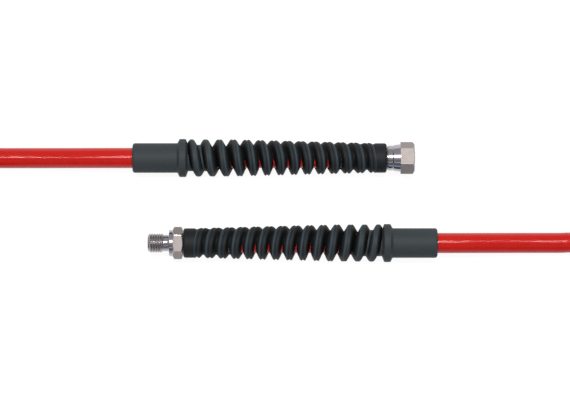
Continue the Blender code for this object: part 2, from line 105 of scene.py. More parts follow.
RETURN_ROUTE = (
    (-0.2852, -0.1415, 0.05060),
    (-0.2500, -0.1418, 0.05040),
    (-0.2150, -0.1428, 0.04600),
    (-0.1750, -0.1440, 0.03600),
    (-0.1350, -0.1443, 0.02350),
    (-0.0950, -0.1443, 0.01350),
    (-0.0550, -0.1443, 0.00840),
    (-0.0150, -0.1443, 0.00710),
    (0.0500, -0.1443, 0.00700),
    (0.1100, -0.1443, 0.00700),
    (0.1600, -0.1443, 0.00700),
    (0.1930, -0.1435, 0.00700),
    (0.2216, -0.1353, 0.00700),
    (0.2423, -0.1146, 0.00700),
    (0.2500, -0.0865, 0.00700),
    (0.2423, -0.0584, 0.00700),
    (0.2216, -0.0377, 0.00700),
    (0.1960, -0.0288, 0.00700),
    (0.1860, -0.0287, 0.00700),
    (0.1650, -0.0287, 0.00750),
    (0.1400, -0.0287, 0.01010),
    (0.1180, -0.0287, 0.01260),
    (0.1028, -0.0287, 0.01285),
    (0.0700, -0.0287, 0.01285),
    (0.0200, -0.0287, 0.01285),
    (-0.0329, -0.0287, 0.01285),
)

coil_low, coil_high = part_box("hose_coil")
COIL_CENTRE = (coil_low + coil_high) / 2
COIL_BOTTOM = coil_low.z
HOSE_RADIUS = HOSE_DIAMETER / 2
TURN_SPACING = HOSE_DIAMETER + TURN_CLEARANCE
OUTER_TURN = (coil_high.x - coil_low.x) / 2 - HOSE_RADIUS


def smooth_route(route):
    """Points close together on the smooth curve through the route's points."""
    points = [Vector(point) for point in route]
    ends = [2 * points[0] - points[1], *points, 2 * points[-1] - points[-2]]
    found = []
    for before, here, there, after in zip(ends, ends[1:], ends[2:], ends[3:]):
        span = (there - here).length
        leave = (there - before) * span / (span + (here - before).length)
        arrive = (after - here) * span / (span + (after - there).length)
        for k in range(CURVE_PIECES):
            t = k / CURVE_PIECES
            found.append(
                here * (2 * t**3 - 3 * t**2 + 1)
                + leave * (t**3 - 2 * t**2 + t)
                + there * (3 * t**2 - 2 * t**3)
                + arrive * (t**3 - t**2)
            )
    found.append(points[-1])
    return found


def shift_centres():
    """How far round, in degrees, each turn moves over to its next place in the bundle."""
    centres = [FIRST_SHIFT]
    for before, shift in zip(COIL_SHIFTS, COIL_SHIFTS[1:]):
        centres.append(centres[-1] + 360 - (SHIFT_LEAD if shift != before else 0))
    return centres


def coil_place(degrees):
    """The hose's (radius, height) this far round the coil from where it enters."""
    radius = OUTER_TURN
    height = COIL_BOTTOM + HOSE_RADIUS
    for centre, (across, up) in zip(shift_centres(), COIL_SHIFTS):
        share = min(max((degrees - centre) / SHIFT_WIDTH + 0.5, 0.0), 1.0)
        eased = share * share * (3 - 2 * share)
        radius += across * eased * TURN_SPACING
        height += up * eased * TURN_SPACING
    return radius, height


def coil_points():
    found = []
    for step in range(round(COIL_TURNS * COIL_POINTS) + 1):
        degrees = 360 * step / COIL_POINTS
        radius, height = coil_place(degrees)
        round_z = math.radians(90 + degrees)
        found.append(Vector((
            COIL_CENTRE.x + radius * math.cos(round_z),
            COIL_CENTRE.y + radius * math.sin(round_z),
            height,
        )))
    return found


def evenly_spaced(points, step):
    line = np.array(points)
    lengths = np.linalg.norm(np.diff(line, axis=0), axis=1)
    travelled = np.concatenate([[0.0], np.cumsum(lengths)])
    wanted = np.linspace(0.0, travelled[-1], round(travelled[-1] / step) + 1)
    return np.stack([np.interp(wanted, travelled, line[:, i]) for i in range(3)], axis=1), wanted


def new_piece(name, mesh, finish=None):
    made = bpy.data.objects.new(name, mesh)
    bpy.context.scene.collection.objects.link(made)
    if finish:
        mesh.materials.append(finish)
    return made


def hose_mesh(name, line, travelled):
    """A closed tube along the line. Its UVs are metres along it and turns round it."""
    along = np.gradient(line, axis=0)
    along /= np.linalg.norm(along, axis=1)[:, None]
    side = np.empty_like(line)
    carried = np.array([0.0, 0.0, 1.0])
    for i, direction in enumerate(along):
        carried = carried - carried.dot(direction) * direction
        carried /= np.linalg.norm(carried)
        side[i] = carried
    other = np.cross(along, side)
    turn = 2 * math.pi * np.arange(HOSE_SIDES) / HOSE_SIDES
    rings = line[:, None] + HOSE_RADIUS * (
        np.cos(turn)[None, :, None] * side[:, None] + np.sin(turn)[None, :, None] * other[:, None]
    )
    count = len(line)
    quads = []
    corners = []
    for i in range(count - 1):
        for k in range(HOSE_SIDES):
            after = (k + 1) % HOSE_SIDES
            quads.append((
                i * HOSE_SIDES + k,
                i * HOSE_SIDES + after,
                (i + 1) * HOSE_SIDES + after,
                (i + 1) * HOSE_SIDES + k,
            ))
            near, far = k / HOSE_SIDES, (k + 1) / HOSE_SIDES
            corners += [
                (travelled[i], near),
                (travelled[i], far),
                (travelled[i + 1], far),
                (travelled[i + 1], near),
            ]
    first_cap = tuple(reversed(range(HOSE_SIDES)))
    last_cap = tuple(range((count - 1) * HOSE_SIDES, count * HOSE_SIDES))
    corners += [(travelled[0], k / HOSE_SIDES) for k in first_cap]
    corners += [(travelled[-1], k / HOSE_SIDES) for k in range(HOSE_SIDES)]
    mesh = bpy.data.meshes.new(name)
    mesh.from_pydata(rings.reshape(-1, 3).tolist(), [], [*quads, first_cap, last_cap])
    layer = mesh.uv_layers.new(name="UVMap")
    layer.data.foreach_set("uv", np.array(corners, np.float32).ravel())
    mesh.shade_smooth()
    return mesh


class Field:
    """A number carried by a node's socket. Arithmetic on it adds Math nodes to its tree."""

    def __init__(self, tree, socket):
        self.tree = tree
        self.socket = socket

    def __add__(self, other):
        return worked("ADD", self, other)

    __radd__ = __add__

    def __sub__(self, other):
        return worked("SUBTRACT", self, other)

    def __rsub__(self, other):
        return worked("SUBTRACT", other, self)

    def __mul__(self, other):
        return worked("MULTIPLY", self, other)

    __rmul__ = __mul__

    def __truediv__(self, other):
        return worked("DIVIDE", self, other)

    def __rtruediv__(self, other):
        return worked("DIVIDE", other, self)


def worked(operation, *values):
    """One Math node with these values, each a Field or a plain number."""
    tree = next(value.tree for value in values if isinstance(value, Field))
    node = tree.nodes.new("ShaderNodeMath")
    node.operation = operation
    for slot, value in zip(node.inputs, values):
        if isinstance(value, Field):
            tree.links.new(value.socket, slot)
        else:
            slot.default_value = value
    return Field(tree, node.outputs[0])


def kept_within(value, low, high):
    return worked("MINIMUM", worked("MAXIMUM", value, low), high)


def node_in(tree, kind, links=None, **settings):
    """A node with these settings; links gives the value or the socket of each named input."""
    node = tree.nodes.new(kind)
    for name, value in settings.items():
        setattr(node, name, value)
    for name, value in (links or {}).items():
        if isinstance(value, Field):
            value = value.socket
        if isinstance(value, bpy.types.NodeSocket):
            tree.links.new(value, node.inputs[name])
        else:
            node.inputs[name].default_value = value
    return node


def finish_material(name, roughness=0.5, metallic=0.0):
    """A new material and its Principled BSDF, whose steady values are set on its own sockets."""
    made = bpy.data.materials.new(name)
    made.use_nodes = True
    shader = made.node_tree.nodes["Principled BSDF"]
    shader.inputs["Roughness"].default_value = roughness
    shader.inputs["Metallic"].default_value = metallic
    return made, made.node_tree, shader


def two_tones(tree, share, low, high):
    """A mix of two colours, each a plain tone or another node's colour."""
    mix = node_in(tree, "ShaderNodeMix", data_type="RGBA")
    tree.links.new(share.socket, mix.inputs["Factor"])
    for slot, tone in ((mix.inputs[6], low), (mix.inputs[7], high)):
        if isinstance(tone, bpy.types.NodeSocket):
            tree.links.new(tone, slot)
        else:
            slot.default_value = (*tone, 1.0)
    return mix.outputs[2]


def surface_grain_group():
    """Fine irregular relief, as moulding and plating leave it, with a mottle nine times as wide."""
    mottle_width = 9
    tree = bpy.data.node_groups.new("surface_grain", "ShaderNodeTree")
    tree.interface.new_socket("Vector", in_out="INPUT", socket_type="NodeSocketVector")
    tree.interface.new_socket("Grain", in_out="INPUT", socket_type="NodeSocketFloat")
    tree.interface.new_socket("Depth", in_out="INPUT", socket_type="NodeSocketFloat")
    tree.interface.new_socket("Height", in_out="OUTPUT", socket_type="NodeSocketFloat")
    tree.interface.new_socket("Mottle", in_out="OUTPUT", socket_type="NodeSocketFloat")
    start = tree.nodes.new("NodeGroupInput")
    end = tree.nodes.new("NodeGroupOutput")
    per_metre = 1 / Field(tree, start.outputs["Grain"])
    fine = node_in(
        tree, "ShaderNodeTexNoise",
        {"Vector": start.outputs["Vector"], "Scale": per_metre, "Detail": 3.0, "Roughness": 0.6},
    )
    coarse = node_in(
        tree, "ShaderNodeTexNoise",
        {
            "Vector": start.outputs["Vector"],
            "Scale": per_metre / mottle_width,
            "Detail": 4.0,
            "Roughness": 0.55,
        },
    )
    height = Field(tree, fine.outputs["Fac"]) * Field(tree, start.outputs["Depth"])
    tree.links.new(height.socket, end.inputs["Height"])
    tree.links.new(coarse.outputs["Fac"], end.inputs["Mottle"])
    return tree


SURFACE_GRAIN = surface_grain_group()


def grain_on(tree, vector, grain, depth):
    """The shared grain at this size, in metres: its height and a slow mottle, as Fields."""
    node = tree.nodes.new("ShaderNodeGroup")
    node.node_tree = SURFACE_GRAIN
    tree.links.new(vector, node.inputs["Vector"])
    node.inputs["Grain"].default_value = grain
    node.inputs["Depth"].default_value = depth
    return Field(tree, node.outputs["Height"]), Field(tree, node.outputs["Mottle"])


def raised(tree, shader, height):
    """Feeds a height in metres to the shader's normal."""
    bump = node_in(tree, "ShaderNodeBump", {"Height": height, "Distance": 1.0, "Strength": 1.0})
    tree.links.new(bump.outputs["Normal"], shader.inputs["Normal"])


def hose_cover():
    """Glossy red rubber. The braid beneath prints through it, one way round more than the other."""
    braid_pitch = 0.0027
    braid_strands = 16
    braid_depth = 0.000045
    made, tree, shader = finish_material("glossy_red_cover")
    shader.inputs["Specular IOR Level"].default_value = 0.35
    coordinates = node_in(tree, "ShaderNodeTexCoord")
    parts = node_in(tree, "ShaderNodeSeparateXYZ", {"Vector": coordinates.outputs["UV"]})
    along = Field(tree, parts.outputs["X"]) / braid_pitch
    around = Field(tree, parts.outputs["Y"]) * braid_strands
    one_way = worked("SINE", (along + around) * (2 * math.pi))
    other_way = worked("SINE", (along - around) * (2 * math.pi))
    braid = one_way * 0.3 + other_way * 0.8
    grain, mottle = grain_on(tree, coordinates.outputs["Object"], 0.0006, 0.000003)
    raised(tree, shader, braid * braid_depth + grain)
    tone = kept_within(mottle * 0.6 + braid * 0.06 + 0.2, 0.0, 1.0)
    red = two_tones(tree, tone, (0.38, 0.003, 0.001), (0.54, 0.009, 0.003))
    tree.links.new(red, shader.inputs["Base Color"])
    between_strands = kept_within(0.5 - other_way * 0.9, 0.0, 1.0)
    rough = mottle * 0.05 + between_strands * 0.10 + 0.03
    tree.links.new(rough.socket, shader.inputs["Roughness"])
    return made


lead_points = smooth_route(LEAD_ROUTE)
return_points = smooth_route(RETURN_ROUTE)
hose_line, hose_travelled = evenly_spaced(
    [*lead_points[:-1], *coil_points(), *return_points[1:]], HOSE_RING_STEP
)
hose = new_piece("hose", hose_mesh("hose", hose_line, hose_travelled), hose_cover())
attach(hose, "hose")
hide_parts("hose_lead", "hose_coil", "hose_return")


# Two hook-and-loop straps hold the coil. Each is a woven band that is pulled tight round all
# the turns and laps over its own start on the outer side, where its rounded tail shows.

STRAP_ANGLES = {"tie_strap_1": 135, "tie_strap_2": 315}
STRAP_WIDTH = 0.024
STRAP_THICKNESS = 0.0013
STRAP_EASE = 0.0002
STRAP_STEPS = 90
STRAP_LAP = (-35, 62)
STRAP_TAIL_SHARE = 0.55
STRAP_EDGE_ROUNDING = 0.0004
STRAP_SHARP_ANGLE = 50


def turns_under(degrees):
    """The (radius, height) of every turn that passes this angle of the coil."""
    first = (degrees - 90) % 360
    return [
        coil_place(first + 360 * turn)
        for turn in range(math.ceil(COIL_TURNS))
        if first + 360 * turn <= 360 * COIL_TURNS
    ]


def strap_section(low, high):
    """The band's own (across, out) outline: flat, with its two long edges rounded."""
    half = STRAP_WIDTH / 2
    cut = STRAP_EDGE_ROUNDING
    across = [half * share for share in (-0.9, -0.6, -0.3, 0, 0.3, 0.6, 0.9)]
    outside = [(-half, low + cut), (-half, high - cut), (-half + cut, high)]
    outside += [(w, high) for w in across]
    outside += [(half - cut, high), (half, high - cut), (half, low + cut), (half - cut, low)]
    outside += [(w, low) for w in reversed(across)]
    return [*outside, (-half + cut, low)]


def strap_band(shape, degrees, section, first, last, closed):
    """Adds the band over this range of directions round the bundle of turns."""
    turns = turns_under(degrees)
    count = max(2, round(STRAP_STEPS * (last - first) / 360))
    uv_layer = shape.loops.layers.uv.verify()
    rings = []
    lengths = []
    travelled = 0.0
    previous = None
    for step in range(count if closed else count + 1):
        facing = math.radians(first + (last - first) * step / count)
        out = (math.cos(facing), math.sin(facing))
        held = max(turns, key=lambda turn: turn[0] * out[0] + turn[1] * out[1])
        taper = 1.0
        if not closed:
            from_end = min(step, count - step) / 2
            taper = min(1.0, STRAP_TAIL_SHARE + (1 - STRAP_TAIL_SHARE) * from_end)
        ring = []
        for across, depth in section:
            reach = HOSE_RADIUS + STRAP_EASE + depth
            radius = held[0] + out[0] * reach
            height = held[1] + out[1] * reach
            turned_by = math.radians(degrees) + across * taper / radius
            ring.append(shape.verts.new((
                COIL_CENTRE.x + radius * math.cos(turned_by),
                COIL_CENTRE.y + radius * math.sin(turned_by),
                height,
            )))
        middle = Vector((held[0] + out[0] * HOSE_RADIUS, held[1] + out[1] * HOSE_RADIUS))
        travelled += (middle - previous).length if previous else 0.0
        previous = middle
        rings.append(ring)
        lengths.append(travelled)
    size = len(section)
    pairs = list(zip(rings, rings[1:], lengths, lengths[1:]))
    if closed:
        pairs.append((rings[-1], rings[0], lengths[-1], lengths[-1] + travelled / count))
    for ring, following, here, there in pairs:
        for i in range(size):
            j = (i + 1) % size
            face = shape.faces.new((ring[i], ring[j], following[j], following[i]))
            spots = ((here, i), (here, j), (there, j), (there, i))
            for loop, (run, k) in zip(face.loops, spots):
                loop[uv_layer].uv = (run, section[k][0])
    if not closed:
        shape.faces.new(rings[0])
        shape.faces.new(rings[-1])


def webbing():
    """Black woven nylon with a little fluff. Its UVs are metres along and across the band."""
    thread = 0.0006
    relief = 0.00012
    made, tree, shader = finish_material("black_webbing", roughness=0.85)
    shader.inputs["Sheen Weight"].default_value = 0.25
    shader.inputs["Sheen Roughness"].default_value = 0.5
    coordinates = node_in(tree, "ShaderNodeTexCoord")
    parts = node_in(tree, "ShaderNodeSeparateXYZ", {"Vector": coordinates.outputs["UV"]})
    warp = worked("SINE", Field(tree, parts.outputs["X"]) * (2 * math.pi / thread))
    weft = worked("SINE", Field(tree, parts.outputs["Y"]) * (2 * math.pi / thread))
    weave = worked("MAXIMUM", warp * weft, 0.0)
    fluff, mottle = grain_on(tree, coordinates.outputs["Object"], 0.0004, relief)
    raised(tree, shader, weave * relief + fluff)
    tone = kept_within(weave * 0.5 + mottle * 0.6, 0.0, 1.0)
    black = two_tones(tree, tone, (0.010, 0.011, 0.013), (0.045, 0.047, 0.052))
    tree.links.new(black, shader.inputs["Base Color"])
    return made


strap_finish = webbing()
for name, angle in STRAP_ANGLES.items():
    shape = bmesh.new()
    strap_band(shape, angle, strap_section(0.0, STRAP_THICKNESS), 0, 360, True)
    lap = strap_section(STRAP_THICKNESS, 2 * STRAP_THICKNESS)
    strap_band(shape, angle, lap, *STRAP_LAP, False)
    bmesh.ops.recalc_face_normals(shape, faces=shape.faces)
    mesh = bpy.data.meshes.new(name + "_band")
    shape.to_mesh(mesh)
    shape.free()
    mesh.shade_smooth()
    mesh.set_sharp_from_angle(angle=math.radians(STRAP_SHARP_ANGLE))
    strap = new_piece(name + "_band", mesh, strap_finish)
    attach(strap, "hose")
    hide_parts(name)


# Each bend sleeve is one moulding of black rubber: a plain collar with a flange, then a rib
# wound as an open spiral round the hose, and a short collar at the fitting. The rib's crest
# is a plain land at the flange and a double ridge further on, and its slits show the hose.

SLEEVE_LENGTH = 0.1714
COLLAR_RADIUS = 0.0100
COLLAR_LENGTH = 0.0302
COLLAR_ROUNDING = 0.0016
SLEEVE_BORE = 0.0073
FLANGE_RADIUS = FLANGE_TOP / 2
FLANGE_WIDTH = 0.0042
FLANGE_FLANK = 0.0015
NECK_RADIUS = 0.0089
NECK_LENGTH = 0.0135
END_COLLAR_LENGTH = 0.0082
END_COLLAR_RADIUS = 0.00995
MOUTH_ROUNDING = 0.0004
FLANGE_ROUNDING = 0.0007
NECK_ROUNDING = 0.0003
END_COLLAR_TONE = -0.7
# These place a painted bluish highlight along the beads' edges.
FAR_EDGE_SHARE = 0.35
FAR_EDGE_WIDTH = 0.0005
NEAR_EDGE_PLACE = 0.0006
NEAR_EDGE_WIDTH = 0.0004
NEAR_EDGE_STRENGTH = 0.35
# The rib's mouth-side flank and the crease between its beads are darkened with painted shade.
MOUTH_SIDE_PLACE = 0.0004
MOUTH_SIDE_WIDTH = 0.0026
MOUTH_SIDE_PAINTED_SHADE = 0.85
CREASE_PAINTED_SHADE = 0.7
SHARP_ANGLE = 38
MERGE_DISTANCE = 1e-7
SLEEVE_SIDES = 96
ARC_PIECES = 6
RIB_STEPS = 80
RIB_SECTION_POINTS = 42
RIB_SIZES = {
    "First": 0.0398,
    "Pitch": 0.00938,
    "Pitch Loss": 0.0000226,
    "Turns": 14.0,
    "Lead In": 0.35,
    "Bore": SLEEVE_BORE,
    "Crest Wide": 0.01265,
    "Crest Narrow": 0.00995,
    "Taper Start": 3.0,
    "Crest Half": 0.0015,
    "Crest Growth": 0.0018,
    "Crest Growth Open": 0.0011,
    "Groove": 0.0007,
    "Groove Turns": 5.0,
    "Bead Offset": 0.0013,
    "Shoulder": 240.0,
    "Foot Wall": 0.0006,
    "Foot Growth": 0.0017,
    "First Gaps": 0.0021,
    "First Gap Turns": 4.5,
    "First Gap Start": 0.74,
    "Opening": 0.0025,
    "Opening From": 1.5,
    "Opening Turns": 4.0,
    "Closing From": 2.0,
    "Closing Turns": 2.5,
    "Opening Start": 0.38,
    "Slit": -0.0003,
    "Tip Gaps": 0.0018,
    "Tip Gap Start": 0.84,
    "Lean": 0.25,
    "Lean From": 2.5,
    "Lean Turns": 4.0,
    "Rounding": 0.0015,
    "Fade Turns": 0.02,
}


def rounded(corners):
    """The closed outline through (along, radius, rounding) corners, each rounding an arc."""
    line = []
    around = [corners[-1], *corners, corners[0]]
    for before, corner, after in zip(around, corners, around[2:]):
        point = Vector(corner[:2])
        if not corner[2]:
            line.append(tuple(point))
            continue
        back = (Vector(before[:2]) - point).normalized()
        ahead = (Vector(after[:2]) - point).normalized()
        half = back.angle(ahead) / 2
        reach = corner[2] / math.tan(half)
        centre = point + (back + ahead).normalized() * corner[2] / math.sin(half)
        start = point + back * reach - centre
        end = point + ahead * reach - centre
        for k in range(ARC_PIECES + 1):
            direction = start.lerp(end, k / ARC_PIECES).normalized()
            line.append(tuple(centre + direction * corner[2]))
    return line


def turned(outline, sides=SLEEVE_SIDES):
    """A closed (along, radius) outline turned about X, as a bmesh."""
    shape = bmesh.new()
    rings = []
    for side in range(sides):
        angle = 2 * math.pi * side / sides
        rings.append([
            shape.verts.new((along, radius * math.cos(angle), radius * math.sin(angle)))
            for along, radius in outline
        ])
    for ring, following in zip(rings, rings[1:] + rings[:1]):
        for i in range(len(outline)):
            j = (i + 1) % len(outline)
            shape.faces.new((ring[i], ring[j], following[j], following[i]))
    bmesh.ops.remove_doubles(shape, verts=shape.verts, dist=MERGE_DISTANCE)
    bmesh.ops.recalc_face_normals(shape, faces=shape.faces)
    return shape


def share_of(value, whole):
    return kept_within(value / whole, 0.0, 1.0)


def leaning_course(size, turn, angle):
    """The ridge's middle along X and its pitch there, which both sway where the helix leans."""
    sideways = worked("SINE", angle)
    leaned = share_of(turn - size["Lean From"], size["Lean Turns"])
    leaning = worked("LESS_THAN", worked("ABSOLUTE", leaned - 0.5), 0.4999)
    upright = share_of(size["Turns"] - turn, 1.0)
    middle = (
        size["First"]
        + size["Pitch"] * (turn + size["Lean"] * leaned * upright * sideways)
        - size["Pitch Loss"] * turn * turn
    )
    pitch = size["Pitch"] - size["Pitch Loss"] * turn * 2
    return middle, pitch * (1 + size["Lean"] / size["Lean Turns"] * leaning * sideways)


def slit_width(size, turn, closed_side, open_side):
    """The slit between a turn and the next. It gapes on the open side, and first at its tips."""
    first_gap = share_of(closed_side - size["First Gap Start"], 1 - size["First Gap Start"])
    gaping = share_of(open_side - size["Opening Start"], 1 - size["Opening Start"])
    tip_gap = share_of(open_side - size["Tip Gap Start"], 1 - size["Tip Gap Start"])
    opened = share_of(turn - size["Opening From"], size["Opening Turns"])
    closed = share_of(size["Turns"] - size["Closing From"] - turn, size["Closing Turns"])
    return (
        size["Slit"]
        + size["First Gaps"] * (1 - share_of(turn, size["First Gap Turns"])) * first_gap
        + size["Opening"] * opened * closed * gaping
        + size["Tip Gaps"] * (1 - opened) * tip_gap
    )


def open_to_light(lift, off_middle, between_beads, beaded_share):
    """How open to light a point lies, 0 to 1, for the painted shade: least at the foot, on the
    mouth's side and in the crease.
    """
    crease = kept_within(between_beads * 1.8 - 1.0, 0.0, 1.0) * beaded_share
    mouth_side = kept_within((-MOUTH_SIDE_PLACE - off_middle) / MOUTH_SIDE_WIDTH, 0.0, 1.0)
    return lift * (1 - mouth_side * MOUTH_SIDE_PAINTED_SHADE) * (1 - crease * CREASE_PAINTED_SHADE)


def edge_nearness(size, off_middle, growth, beaded_share):
    """How near a point is to the line along either bead's far edge, 0 to 1, where a bluish
    highlight is painted.
    """
    off_far = worked("ABSOLUTE", off_middle - size["Crest Half"] - growth * FAR_EDGE_SHARE)
    off_near = worked("ABSOLUTE", off_middle + NEAR_EDGE_PLACE)
    far_edge = kept_within(1 - off_far / FAR_EDGE_WIDTH, 0.0, 1.0)
    near_edge = kept_within(1 - off_near / NEAR_EDGE_WIDTH, 0.0, 1.0)
    return far_edge + near_edge * NEAR_EDGE_STRENGTH * beaded_share


def marked(tree, mesh, name, value):
    """The mesh with this number stored on each of its points, for its material to read."""
    stored = node_in(
        tree, "GeometryNodeStoreNamedAttribute",
        {"Geometry": mesh, "Name": name, "Value": value},
        data_type="FLOAT", domain="POINT",
    )
    return stored.outputs["Geometry"]


def wound_ridge_tree():
    """Geometry Nodes for a ridge wound round X: a band whose section changes along its helix.

    A flat grid is wound up. Its columns are steps along the helix, and its rows go once round
    the ridge's section.
    """
    tree = bpy.data.node_groups.new("wound_ridge", "GeometryNodeTree")
    tree.interface.new_socket("Geometry", in_out="OUTPUT", socket_type="NodeSocketGeometry")
    for name in ("Steps", "Section Points"):
        tree.interface.new_socket(name, in_out="INPUT", socket_type="NodeSocketInt")
    for name in RIB_SIZES:
        tree.interface.new_socket(name, in_out="INPUT", socket_type="NodeSocketFloat")
    tree.interface.new_socket("Material", in_out="INPUT", socket_type="NodeSocketMaterial")
    start = tree.nodes.new("NodeGroupInput")
    end = tree.nodes.new("NodeGroupOutput")
    size = {name: Field(tree, start.outputs[name]) for name in RIB_SIZES}
    points = Field(tree, start.outputs["Section Points"])
    helix = size["Turns"] + size["Lead In"]
    steps = worked("ROUND", helix * Field(tree, start.outputs["Steps"]))
    grid = node_in(
        tree, "GeometryNodeMeshGrid",
        {"Size X": 1.0, "Size Y": 1.0, "Vertices X": steps + 1, "Vertices Y": points + 2},
    )
    position = node_in(tree, "GeometryNodeInputPosition")
    spot = node_in(tree, "ShaderNodeSeparateXYZ", {"Vector": position.outputs["Position"]})
    turn = (Field(tree, spot.outputs["X"]) + 0.5) * helix - size["Lead In"]
    row = worked("ROUND", (Field(tree, spot.outputs["Y"]) + 0.5) * (points + 1))

    angle = turn * (2 * math.pi)
    closed_side = worked("COSINE", angle) * 0.5 + 0.5
    open_side = 1 - closed_side
    share = share_of(turn, size["Turns"])
    middle, pitch = leaning_course(size, turn, angle)
    foot = (pitch - slit_width(size, turn, closed_side, open_side)) / 2
    foot_radius = size["Bore"] + size["Foot Wall"] + size["Foot Growth"] * share * closed_side
    growth = size["Crest Growth"] * closed_side + size["Crest Growth Open"] * open_side
    growth = growth * share
    crest = size["Crest Half"] + growth
    taper = share_of(turn - size["Taper Start"], size["Turns"] - size["Taper Start"])
    crest_radius = size["Crest Wide"] + (size["Crest Narrow"] - size["Crest Wide"]) * taper

    def end_rows(margin):
        """1 on the rows nearer than this to either side of the section, and 0 between them."""
        first = worked("LESS_THAN", row, margin)
        last = worked("GREATER_THAN", row, points - margin)
        return worked("MAXIMUM", first, last)

    # Row 0 lies on the bore and row 1 half way up the wall. The last three come down the other
    # wall and back along the bore to row 0. The rows between cross the ridge evenly.
    crossing = kept_within((row - 2) / (points - 4), 0.0, 1.0) * 2 - 1
    underside = end_rows(0.5)
    wall = end_rows(1.5)
    closing = worked("GREATER_THAN", row, points + 0.5)

    # The flanks climb to a rounded crest, and past the first turns it is a double bead.
    off_middle = crossing * foot
    from_middle = worked("ABSOLUTE", crossing) * foot
    climb = (foot - from_middle) / (foot - crest)
    lift = worked("SMOOTH_MIN", climb, 1.0, size["Rounding"] / (foot - crest))
    lift = kept_within(lift, 0.0, 1.0)
    beaded_share = share_of(turn, size["Groove Turns"])
    off_bead = kept_within(from_middle / size["Bead Offset"], 0.0, 1.0)
    between_beads = worked("COSINE", off_bead * math.pi) * 0.5 + 0.5
    past_bead = worked("MAXIMUM", from_middle - size["Bead Offset"], 0.0)
    fallen = size["Shoulder"] * past_bead * past_bead
    groove = (size["Groove"] * between_beads + fallen) * (beaded_share * lift)
    top = foot_radius + (crest_radius - foot_radius) * lift - groove

    to_end = worked("MINIMUM", turn + size["Lead In"], size["Turns"] - turn)
    ends = share_of(to_end, size["Fade Turns"])
    height = (top - size["Bore"]) * (1 - underside) * (1 - wall * 0.5)
    radius = size["Bore"] + height * ends
    across = crossing * foot * (1 - closing * 2) * ends
    place = node_in(
        tree, "ShaderNodeCombineXYZ",
        {
            "X": middle + across,
            "Y": radius * worked("COSINE", angle),
            "Z": radius * worked("SINE", angle),
        },
    )

    # The marks are stored while the mesh still is the flat grid that their fields read.
    # The first mark paints shade at the rib's feet, on its mouth-side flanks and in its crease; the
    # second paints a bluish highlight along the beads' edges.
    shown = open_to_light(lift, off_middle, between_beads, beaded_share) * (1 - wall)
    edge = edge_nearness(size, off_middle, growth, beaded_share) * (1 - wall)
    flat = marked(tree, grid.outputs["Mesh"], "painted_shade", 1 - shown)
    flat = marked(tree, flat, "edge", edge)
    wound = node_in(
        tree, "GeometryNodeSetPosition", {"Geometry": flat, "Position": place.outputs["Vector"]}
    )
    welded = node_in(
        tree, "GeometryNodeMergeByDistance",
        {"Geometry": wound.outputs["Geometry"], "Distance": 1e-6},
    )
    realised = node_in(
        tree, "GeometryNodeRealizeInstances", {"Geometry": welded.outputs["Geometry"]}
    )
    painted = node_in(
        tree, "GeometryNodeSetMaterial",
        {"Geometry": realised.outputs["Geometry"], "Material": start.outputs["Material"]},
    )
    tree.links.new(painted.outputs["Geometry"], end.inputs["Geometry"])
    return tree


WOUND_RIDGE = wound_ridge_tree()
MARKS = ("painted_shade", "edge", "facet")


def wound_ridge(sizes, steps, section_points, finish):
    """The ridge with these sizes as a plain mesh, made by the node tree."""
    holder = new_piece("ridge", bpy.data.meshes.new("ridge"))
    modifier = holder.modifiers.new("Wind", "NODES")
    modifier.node_group = WOUND_RIDGE
    values = {**sizes, "Steps": steps, "Section Points": section_points, "Material": finish}
    for item in WOUND_RIDGE.interface.items_tree:
        if item.item_type == "SOCKET" and item.in_out == "INPUT":
            modifier[item.identifier] = values[item.name]
    bpy.context.view_layer.update()
    graph = bpy.context.evaluated_depsgraph_get()
    mesh = bpy.data.meshes.new_from_object(holder.evaluated_get(graph))
    bpy.data.objects.remove(holder, do_unlink=True)
    return mesh


def joined(name, shapes, ridge=None):
    """One mesh of these turned shapes and, if given, a wound ridge, with the marks of each.

    Each mesh has all the marks before it joins, because a mark that one of them lacks is lost.
    """
    meshes = [ridge] if ridge else []
    for shape in shapes:
        mesh = bpy.data.meshes.new("part")
        shape.to_mesh(mesh)
        shape.free()
        meshes.append(mesh)
    whole = bmesh.new()
    for mesh in meshes:
        for missing in MARKS:
            if missing not in mesh.attributes:
                mesh.attributes.new(missing, "FLOAT", "POINT")
        whole.from_mesh(mesh)
        bpy.data.meshes.remove(mesh)
    bmesh.ops.recalc_face_normals(whole, faces=whole.faces)
    mesh = bpy.data.meshes.new(name)
    whole.to_mesh(mesh)
    whole.free()
    mesh.shade_smooth()
    mesh.set_sharp_from_angle(angle=math.radians(SHARP_ANGLE))
    return mesh


def mark(tree, name):
    """A number that the mesh carries for each of its points."""
    return Field(tree, node_in(tree, "ShaderNodeAttribute", attribute_name=name).outputs["Fac"])


def sleeve_rubber():
    """Matt slate-black rubber, with painted shade near black in its hollows and a painted bluish
    highlight along the ribs' edges.
    """
    # The near-black tone is the colour of the painted shade; slate is the rubber's own colour.
    black = (0.0006, 0.0008, 0.0008)
    slate = (0.034, 0.043, 0.047)
    painted_blue_glint = (0.040, 0.073, 0.098)
    made, tree, shader = finish_material("slate_black_rubber", roughness=0.5)
    shader.inputs["Specular IOR Level"].default_value = 0.18
    coordinates = node_in(tree, "ShaderNodeTexCoord")
    grain, mottle = grain_on(tree, coordinates.outputs["Object"], 0.0005, 0.000006)
    raised(tree, shader, grain)
    # Painted shade: the rib's feet, mouth-side flanks and crease are darkened towards black.
    open_share = worked("POWER", 1 - mark(tree, "painted_shade"), 1.6)
    body = (mottle * 0.25 + mark(tree, "mouth_pale_tone") * 0.4 + 0.4) * open_share
    plain = two_tones(tree, kept_within(body, 0.0, 1.0), black, slate)
    # A painted bluish highlight along the beads' edges, where a cool light glints.
    colour = two_tones(tree, mark(tree, "edge") * 0.9, plain, painted_blue_glint)
    tree.links.new(colour, shader.inputs["Base Color"])
    rough = kept_within(mottle * 0.2 + 0.5, 0.3, 0.8)
    tree.links.new(rough.socket, shader.inputs["Roughness"])
    return made


